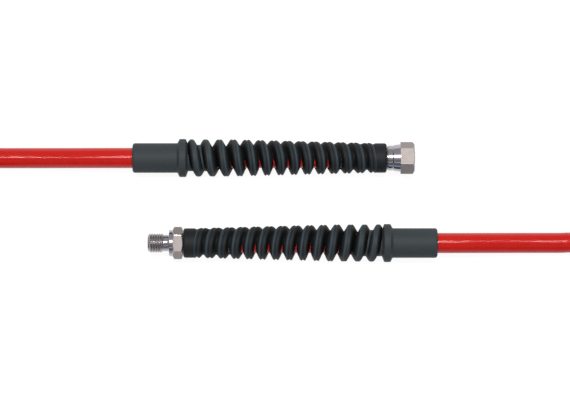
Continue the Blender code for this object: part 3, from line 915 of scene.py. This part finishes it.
rubber = sleeve_rubber()
flange_start = COLLAR_LENGTH
flange_end = flange_start + FLANGE_WIDTH + 2 * FLANGE_FLANK
neck_end = flange_end + NECK_LENGTH
end_collar_start = SLEEVE_LENGTH - END_COLLAR_LENGTH
sleeve_mouth = turned(rounded([
    (0.0, SLEEVE_BORE, MOUTH_ROUNDING),
    (0.0, COLLAR_RADIUS, COLLAR_ROUNDING),
    (flange_start, COLLAR_RADIUS, FLANGE_ROUNDING),
    (flange_start + FLANGE_FLANK, FLANGE_RADIUS, FLANGE_ROUNDING),
    (flange_end - FLANGE_FLANK, FLANGE_RADIUS, FLANGE_ROUNDING),
    (flange_end, NECK_RADIUS, NECK_ROUNDING),
    (neck_end, NECK_RADIUS, NECK_ROUNDING),
    (neck_end, SLEEVE_BORE, 0.0),
]))
sleeve_end = turned(rounded([
    (end_collar_start, SLEEVE_BORE, 0.0),
    (end_collar_start, END_COLLAR_RADIUS, MOUTH_ROUNDING),
    (SLEEVE_LENGTH, END_COLLAR_RADIUS, COLLAR_ROUNDING),
    (SLEEVE_LENGTH, SLEEVE_BORE, MOUTH_ROUNDING),
]))
rib = wound_ridge(RIB_SIZES, RIB_STEPS, RIB_SECTION_POINTS, rubber)
sleeve_mesh = joined("bend_sleeve", [sleeve_mouth, sleeve_end], rib)

# The rubber is palest at its mouth, and dark on the collar that is at the fitting.
mouth_pale_tone = sleeve_mesh.attributes.new("mouth_pale_tone", "FLOAT", "POINT")
for point, vertex in zip(mouth_pale_tone.data, sleeve_mesh.vertices):
    share = (vertex.co.x - neck_end) / (end_collar_start - neck_end)
    point.value = END_COLLAR_TONE if share > 1 else 1 - max(share, 0.0)

for end, mirrored in (("female", False), ("male", True)):
    node = f"bend_sleeve_{end}_end"
    low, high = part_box(node)
    mesh = sleeve_mesh.copy()
    if mirrored:
        mesh.transform(Matrix.Scale(-1, 4, (1, 0, 0)))
        mesh.flip_normals()
    mouth_x = high.x if mirrored else low.x
    mesh.transform(Matrix.Translation((mouth_x, (low.y + high.y) / 2, AXIS_HEIGHT)))
    sleeve = new_piece(f"ribbed_sleeve_{end}_end", mesh, rubber)
    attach(sleeve, "hose")
    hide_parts(node)


# A plated steel ferrule is crimped on each end of the hose, inside the sleeve. It shows as
# glints between the last ribs. The crimping jaws leave eight flat bands round it.

FERRULE_FLATS = 8
FERRULE_FLAT_DEPTH = 0.00022
FERRULE_MOUTH_ROUNDING = 0.0006
FERRULE_BORE = 0.0036
FERRULE_GAP = 0.0003


def machined_steel(name, facet_tone, turned_tone, facet_roughness, turned_roughness):
    """Bright plating: matt grainy facets, and turned faces with fine rings and a mirror gloss."""
    ring_pitch = 0.00022
    ring_height = 0.0000012
    speck_darkness = 0.78
    made, tree, shader = finish_material(name, metallic=1.0)
    coordinates = node_in(tree, "ShaderNodeTexCoord")
    facet = mark(tree, "facet")
    spot = node_in(tree, "ShaderNodeSeparateXYZ", {"Vector": coordinates.outputs["Object"]})
    rings = worked("SINE", Field(tree, spot.outputs["X"]) * (2 * math.pi / ring_pitch))
    grain, mottle = grain_on(tree, coordinates.outputs["Object"], 0.00035, 0.000022)
    raised(tree, shader, grain * facet + rings * (1 - facet) * ring_height)
    speck = kept_within(grain * 45000 - 0.2 + mottle * 0.35, 0.0, 1.0)
    speck_tone = tuple(speck_darkness * part for part in facet_tone)
    specked = two_tones(tree, speck, speck_tone, facet_tone)
    colour = two_tones(tree, facet, turned_tone, specked)
    tree.links.new(colour, shader.inputs["Base Color"])
    rough = facet * (facet_roughness - turned_roughness) + mottle * 0.12 + (turned_roughness - 0.05)
    tree.links.new(kept_within(rough, 0.05, 0.8).socket, shader.inputs["Roughness"])
    return made


ferrule_finish = machined_steel(
    "crimped_steel", (0.30, 0.25, 0.22), (0.30, 0.24, 0.21), 0.5, 0.45
)

for end in ("female", "male"):
    node = f"ferrule_{end}_end"
    low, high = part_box(node)
    outer = (high.z - low.z) / 2
    shape = turned(rounded([
        (low.x, FERRULE_BORE, 0.0),
        (low.x, outer, FERRULE_MOUTH_ROUNDING),
        (high.x, outer, FERRULE_MOUTH_ROUNDING),
        (high.x, FERRULE_BORE, 0.0),
    ]))
    for vertex in shape.verts:
        angle = math.atan2(vertex.co.z, vertex.co.y)
        radius = math.hypot(vertex.co.y, vertex.co.z)
        if radius > 0.8 * outer:
            dip = FERRULE_FLAT_DEPTH * (0.5 + 0.5 * math.cos(FERRULE_FLATS * angle))
            vertex.co.y *= 1 - dip / radius
            vertex.co.z *= 1 - dip / radius
    mesh = joined(f"crimped_ferrule_{end}_end", [shape])
    mesh.transform(Matrix.Translation((0, (low.y + high.y) / 2, AXIS_HEIGHT)))
    ferrule = new_piece(f"crimped_ferrule_{end}_end", mesh, ferrule_finish)
    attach(ferrule, "hose")
    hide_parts(node)


# The swivel end is a turned and plated steel stem with a round hub and a cone nose, and the
# union nut that turns on it behind its head: a 19 mm hexagon with a mirror-bright round tail.

HEX_FLATS = 0.019
NUT_TURN = -6.5
HEX_EDGE = 0.00035
HEX_CHAMFER = 0.0014
HEX_CORNER = HEX_FLATS / math.sqrt(3) + 0.0001
HEX_FACE_RADIUS = HEX_FLATS / 2 - 0.0002
HEX_CORNER_ROUNDING = 0.0008
HEX_FACE_ROUNDING = 0.0004
FITTING_STEP = 0.00016
FITTING_SIDES = 240
FITTING_ROUNDING = 0.0003
FINE_ROUNDING = 0.0002
BORE_RADIUS = 0.0021
SHANK_RADIUS = 0.0033
HUB_RADIUS = 0.0085
HUB_LENGTH = 0.0038
HUB_STEP = 0.0005
HUB_STEP_START = 0.0007
HUB_STEP_END = 0.0008
STEM_NECK_RADIUS = 0.0046
STEM_NECK_LENGTH = 0.0026
STEM_HEAD_RADIUS = 0.0055
STEM_HEAD_LENGTH = 0.0014
STEM_NOSE_RADIUS = 0.0028
NUT_TAIL_LENGTH = 0.0049
NUT_TAIL_RADIUS_BACK = 0.00875
NUT_TAIL_RADIUS_FRONT = 0.0094
NUT_LIP_RADIUS = 0.0049
NUT_LIP_LENGTH = 0.0018
NUT_THREAD_RADIUS = 0.0060
NUT_MOUTH_CHAMFER = 0.0007


def densified(outline, first, last):
    """The closed outline with more points where a hexagon is cut between first and last."""
    line = []
    for here, there in zip(outline, outline[1:] + outline[:1]):
        span = math.dist(here, there)
        cut = here[1] > 0.8 * HEX_FLATS / 2 and first <= here[0] <= last
        count = max(1, math.ceil(span / FITTING_STEP)) if cut else 1
        for k in range(count):
            t = k / count
            line.append((here[0] + (there[0] - here[0]) * t, here[1] + (there[1] - here[1]) * t))
    return line


def eased_minimum(a, b, ease):
    """The smaller of the two, rounded over where they are less than ease apart."""
    share = min(max(0.5 + 0.5 * (b - a) / ease, 0.0), 1.0)
    return b + (a - b) * share - ease * share * (1 - share)


def hexagonal(outline, first, last, hex_turn=0.0):
    """The outline turned about X, with a hexagon's flats cut on it between first and last.

    Its points carry the facet mark, 1 on the flats and 0 on the turned faces.
    """
    shape = turned(densified(outline, first, last), FITTING_SIDES)
    facet = shape.verts.layers.float.new("facet")
    margin = FITTING_STEP / 2
    for vertex in shape.verts:
        radius = math.hypot(vertex.co.y, vertex.co.z)
        if not first - margin < vertex.co.x < last + margin or radius < 0.9 * HEX_FLATS / 2:
            continue
        angle = math.atan2(vertex.co.z, vertex.co.y) - math.radians(90 + hex_turn)
        off_flat = (angle + math.pi / 6) % (math.pi / 3) - math.pi / 6
        flat = HEX_FLATS / 2 / math.cos(off_flat)
        cut = eased_minimum(radius, flat, HEX_EDGE)
        cut_away = (radius - flat) / HEX_EDGE
        to_corner = (math.pi / 6 - abs(off_flat)) * HEX_FLATS / 2 / HEX_EDGE
        vertex[facet] = min(max(cut_away, 0.0), 1.0) * min(max(to_corner, 0.0), 1.0)
        vertex.co.y *= cut / radius
        vertex.co.z *= cut / radius
    return shape


steel = machined_steel("plated_steel", (0.42, 0.38, 0.36), (0.42, 0.41, 0.43), 0.65, 0.16)

stem_low, stem_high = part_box("stem_female_end")
nut_low, nut_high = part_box("swivel_nut")
FEMALE_Y = (nut_low.y + nut_high.y) / 2
hub_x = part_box("ferrule_female_end")[1].x + FERRULE_GAP
hub_end = hub_x + HUB_LENGTH
stem_neck_end = hub_end + STEM_NECK_LENGTH
stem_head_end = stem_neck_end + STEM_HEAD_LENGTH
nose_end = stem_high.x
stem_mesh = joined("stem", [turned(rounded([
    (stem_low.x, BORE_RADIUS, 0.0),
    (stem_low.x, SHANK_RADIUS, FINE_ROUNDING),
    (hub_x, SHANK_RADIUS, 0.0),
    (hub_x, HUB_RADIUS - HUB_STEP, FITTING_ROUNDING),
    (hub_x + HUB_STEP_START, HUB_RADIUS - HUB_STEP, 0.0),
    (hub_x + HUB_STEP_END, HUB_RADIUS, FITTING_ROUNDING),
    (hub_end, HUB_RADIUS, FITTING_ROUNDING),
    (hub_end, STEM_NECK_RADIUS, 0.0),
    (stem_neck_end, STEM_NECK_RADIUS, 0.0),
    (stem_neck_end, STEM_HEAD_RADIUS, FINE_ROUNDING),
    (stem_head_end, STEM_HEAD_RADIUS, FITTING_ROUNDING),
    (nose_end, STEM_NOSE_RADIUS, FINE_ROUNDING),
    (nose_end, BORE_RADIUS, 0.0),
]))])
stem_mesh.transform(Matrix.Translation((0, FEMALE_Y, AXIS_HEIGHT)))
stem = new_piece("turned_stem", stem_mesh, steel)
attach(stem, "hose")
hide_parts("stem_female_end")

nut_hex_x = nut_low.x + NUT_TAIL_LENGTH
nut_shape = hexagonal(rounded([
    (nut_low.x, NUT_LIP_RADIUS, 0.0),
    (nut_low.x, NUT_TAIL_RADIUS_BACK, FITTING_ROUNDING),
    (nut_hex_x, NUT_TAIL_RADIUS_FRONT, 0.0),
    (nut_hex_x, HEX_CORNER, FITTING_ROUNDING),
    (nut_high.x - HEX_CHAMFER, HEX_CORNER, HEX_CORNER_ROUNDING),
    (nut_high.x, HEX_FACE_RADIUS, HEX_FACE_ROUNDING),
    (nut_high.x, NUT_THREAD_RADIUS + NUT_MOUTH_CHAMFER, FINE_ROUNDING),
    (nut_high.x - NUT_MOUTH_CHAMFER, NUT_THREAD_RADIUS, 0.0),
    (nut_low.x + NUT_LIP_LENGTH, NUT_THREAD_RADIUS, 0.0),
    (nut_low.x + NUT_LIP_LENGTH, NUT_LIP_RADIUS, 0.0),
]), nut_hex_x, nut_high.x, NUT_TURN)
nut_mesh = joined("union_nut", [nut_shape])
nut_mesh.transform(Matrix.Translation((0, FEMALE_Y, AXIS_HEIGHT)))
nut = new_piece("union_nut", nut_mesh, steel)
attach(nut, "nut")
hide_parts("swivel_nut")


# The male end is one turned piece: a 19 mm hexagon against the sleeve, a round shoulder, an
# undercut and a 1/4 inch pipe thread with its cone seat. Its thread is a wound ridge.

MALE_HEX_LENGTH = 0.0068
THREAD_PITCH = 0.00165
THREAD_DEPTH = 0.00086
THREAD_RADIUS = 0.00658
THREAD_CORE = THREAD_RADIUS - THREAD_DEPTH
THREAD_SUNK = 0.0003
THREAD_RUN_OUT = 0.0003
THREAD_CHAMFER = 0.0004
THREAD_CHAMFER_LENGTH = 0.0006
THREAD_MATTNESS = 0.35
THREAD_STEPS = 72
THREAD_SECTION_POINTS = 22
SHOULDER_RADIUS = 0.0089
SHOULDER_LENGTH = 0.0025
SHOULDER_ROUNDING = 0.0005
UNDERCUT_RADIUS = 0.0056
UNDERCUT_LENGTH = 0.0043
UNDERCUT_FLARE = 0.0003
UNDERCUT_FLARE_LENGTH = 0.0006
UNDERCUT_STEP_LENGTH = 0.0002
SEAT_MOUTH_RADIUS = 0.0046
SEAT_DEPTH = 0.0043
THREAD_SIZES = {
    **dict.fromkeys(RIB_SIZES, 0.0),
    "Pitch": THREAD_PITCH,
    "Bore": THREAD_CORE - THREAD_SUNK,
    "Crest Wide": THREAD_RADIUS,
    "Crest Narrow": THREAD_RADIUS,
    "Taper Start": -1.0,
    "Crest Half": 0.00012,
    "Foot Wall": THREAD_SUNK,
    "Groove Turns": 1.0,
    "Bead Offset": 1.0,
    "First Gap Turns": 1.0,
    "First Gap Start": 0.5,
    "Opening Turns": 1.0,
    "Closing Turns": 1.0,
    "Lean Turns": 1.0,
    "Slit": 0.00002,
    "Tip Gap Start": 0.5,
    "Rounding": 0.00030,
    "Fade Turns": 0.35,
}

male_low, male_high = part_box("male_fitting")
MALE_Y = (male_low.y + male_high.y) / 2
male_hub = -(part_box("ferrule_male_end")[0].x - FERRULE_GAP)
male_hex_end = male_hub + MALE_HEX_LENGTH
shoulder_end = male_hex_end + SHOULDER_LENGTH
undercut_end = shoulder_end + UNDERCUT_LENGTH
thread_end = -male_low.x
male_shape = hexagonal(rounded([
    (-male_high.x, BORE_RADIUS, 0.0),
    (-male_high.x, SHANK_RADIUS, FINE_ROUNDING),
    (male_hub, SHANK_RADIUS, 0.0),
    (male_hub, HEX_FACE_RADIUS, HEX_FACE_ROUNDING),
    (male_hub + HEX_CHAMFER * 0.7, HEX_CORNER, HEX_CORNER_ROUNDING),
    (male_hex_end - HEX_CHAMFER * 0.8, HEX_CORNER, HEX_CORNER_ROUNDING),
    (male_hex_end, HEX_FACE_RADIUS, FITTING_ROUNDING),
    (male_hex_end, SHOULDER_RADIUS, 0.0),
    (shoulder_end, SHOULDER_RADIUS, SHOULDER_ROUNDING),
    (shoulder_end, UNDERCUT_RADIUS + UNDERCUT_FLARE, FITTING_ROUNDING),
    (shoulder_end + UNDERCUT_FLARE_LENGTH, UNDERCUT_RADIUS, 0.0),
    (undercut_end, UNDERCUT_RADIUS, 0.0),
    (undercut_end + UNDERCUT_STEP_LENGTH, THREAD_CORE, 0.0),
    (thread_end - THREAD_CHAMFER_LENGTH, THREAD_CORE, 0.0),
    (thread_end, THREAD_CORE - THREAD_CHAMFER, FINE_ROUNDING),
    (thread_end, SEAT_MOUTH_RADIUS, FINE_ROUNDING),
    (thread_end - SEAT_DEPTH, BORE_RADIUS, 0.0),
]), male_hub, male_hex_end)
threaded = thread_end - THREAD_RUN_OUT - undercut_end
THREAD_SIZES["First"] = undercut_end - THREAD_PITCH * 0.2
THREAD_SIZES["Turns"] = threaded / THREAD_PITCH + 0.1
thread = wound_ridge(THREAD_SIZES, THREAD_STEPS, THREAD_SECTION_POINTS, steel)
matt = thread.attributes.new("facet", "FLOAT", "POINT")
matt.data.foreach_set("value", [THREAD_MATTNESS] * len(thread.vertices))
male_mesh = joined("male_fitting", [male_shape], thread)
male_mesh.transform(Matrix.Rotation(math.pi, 4, "Z"))
male_mesh.transform(Matrix.Translation((0, MALE_Y, AXIS_HEIGHT)))
male = new_piece("threaded_male_end", male_mesh, steel)
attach(male, "hose")
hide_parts("male_fitting")


# The studio is a white light table under one long, narrow soft light, that gives the hose its
# thin highlight, with a dim second one, a cool source low on the -Y side and a grey room.

FLOOR_SIZE = 8.0
FLOOR_GLOW = 0.93

# Each soft light's lean in degrees, distance, size, radiance and colour.
LIGHTS = {
    "main_strip": (14, 1.3, (0.90, 0.07), 80, (1.0, 0.98, 0.95)),
    "second_strip": (-39, 1.5, (2.6, 0.15), 1.0, (1.0, 0.9, 0.8)),
    "cool_side": (-80, 1.5, (2.6, 0.5), 0.5, (0.4, 0.68, 1.0)),
}
ROOM_DARK = (0.17, 0.19, 0.22)
ROOM_LIGHT = (0.50, 0.48, 0.52)


def floor_finish():
    """White acrylic that is lit from below, so that the shadows on it stay faint."""
    made, tree, shader = finish_material("white_table", roughness=0.9)
    shader.inputs["Specular IOR Level"].default_value = 0.1
    coordinates = node_in(tree, "ShaderNodeTexCoord")
    grain, mottle = grain_on(tree, coordinates.outputs["Object"], 0.004, 0.00002)
    raised(tree, shader, grain)
    white = two_tones(tree, mottle, (0.11, 0.11, 0.11), (0.13, 0.13, 0.13))
    tree.links.new(white, shader.inputs["Base Color"])
    shader.inputs["Emission Color"].default_value = (1.0, 1.0, 1.0, 1.0)
    shader.inputs["Emission Strength"].default_value = FLOOR_GLOW
    return made


shape = bmesh.new()
bmesh.ops.create_grid(shape, x_segments=1, y_segments=1, size=FLOOR_SIZE / 2)
floor_mesh = bpy.data.meshes.new("floor")
shape.to_mesh(floor_mesh)
shape.free()
floor = new_piece("floor", floor_mesh, floor_finish())


def soft_light(name, lean, distance, size, radiance, colour):
    """A rectangular source, leant over from the zenith towards +Y, that faces the two ends."""
    data = bpy.data.lights.new(name, "AREA")
    data.shape = "RECTANGLE"
    data.size, data.size_y = size
    data.energy = radiance * math.pi * size[0] * size[1]
    data.color = colour
    made = bpy.data.objects.new(name, data)
    angle = math.radians(lean)
    made.location = (0, distance * math.sin(angle), AXIS_HEIGHT + distance * math.cos(angle))
    made.rotation_euler = (-angle, 0, 0)
    bpy.context.scene.collection.objects.link(made)


for name, values in LIGHTS.items():
    soft_light(name, *values)

# The room is dark on its -Y side, except low down, and light elsewhere.
world = bpy.data.worlds.new("studio")
world.use_nodes = True
bpy.context.scene.world = world
sky = world.node_tree
background = sky.nodes["Background"]
direction = node_in(sky, "ShaderNodeTexCoord")
heading = node_in(sky, "ShaderNodeSeparateXYZ", {"Vector": direction.outputs["Generated"]})
lean = Field(sky, heading.outputs["Y"])
low_share = 1 - Field(sky, heading.outputs["Z"]) * 3.5
side_share = kept_within(worked("MAXIMUM", (lean + 0.5) * 2.2, low_share), 0.0, 1.0)
sky.links.new(two_tones(sky, side_share, ROOM_DARK, ROOM_LIGHT), background.inputs["Color"])
background.inputs["Strength"].default_value = 1.0
